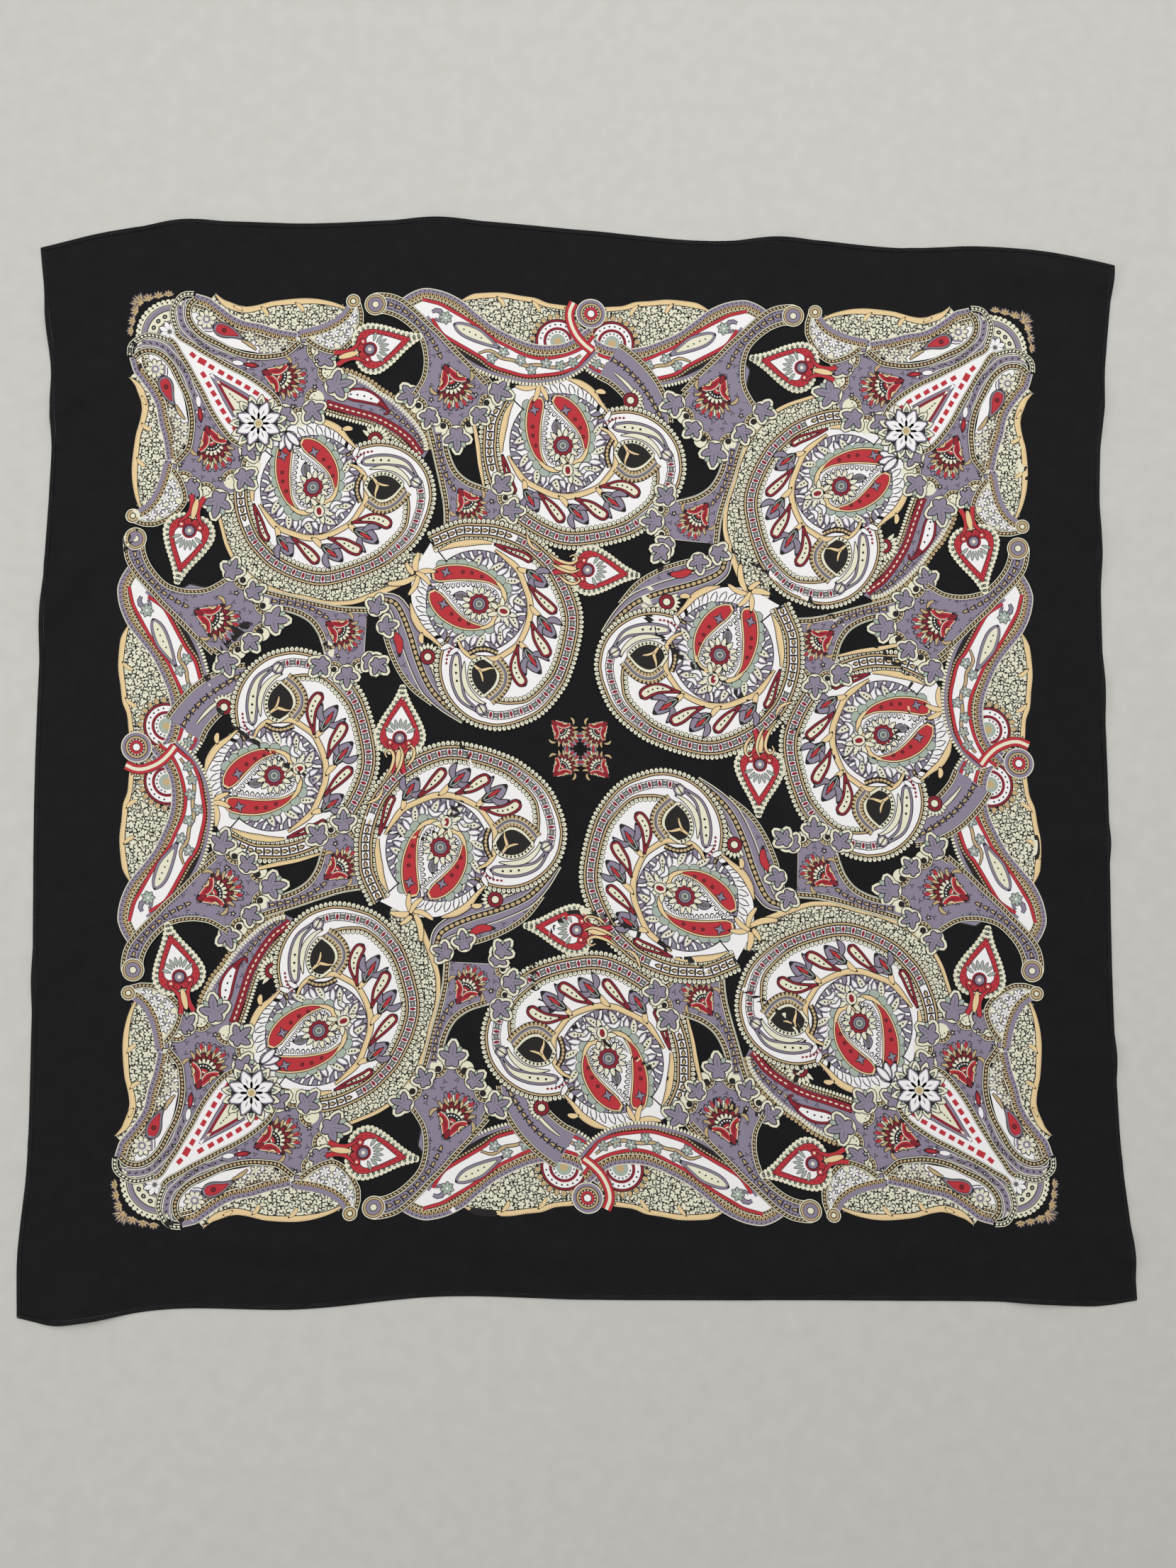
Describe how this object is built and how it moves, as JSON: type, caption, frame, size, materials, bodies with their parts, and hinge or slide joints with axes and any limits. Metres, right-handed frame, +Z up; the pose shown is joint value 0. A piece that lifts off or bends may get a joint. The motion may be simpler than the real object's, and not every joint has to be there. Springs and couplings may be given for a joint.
{
  "type": "paisley shawl",
  "caption": "Large square woven shawl with a narrow rolled hem, spread flat and face up, its printed field of paisley framed by a plain border.",
  "frame": {"origin": "on the surface the shawl lies on, under the middle of its extent", "axes": "+Z up, out of the printed face; +Y towards the top hem; +X towards the right hem, as seen from above"},
  "size_m": [1.112, 1.1121, 0.008],
  "materials": {
    "printed_cloth": "matte plain weave, dyed black",
    "hem_cloth": "matte plain weave, rolled and stitched"
  },
  "bodies": {
    "root": {"panel": "printed_cloth", "hem_top": "hem_cloth", "hem_bottom": "hem_cloth", "hem_left": "hem_cloth", "hem_right": "hem_cloth"}
  },
  "joints": []
}
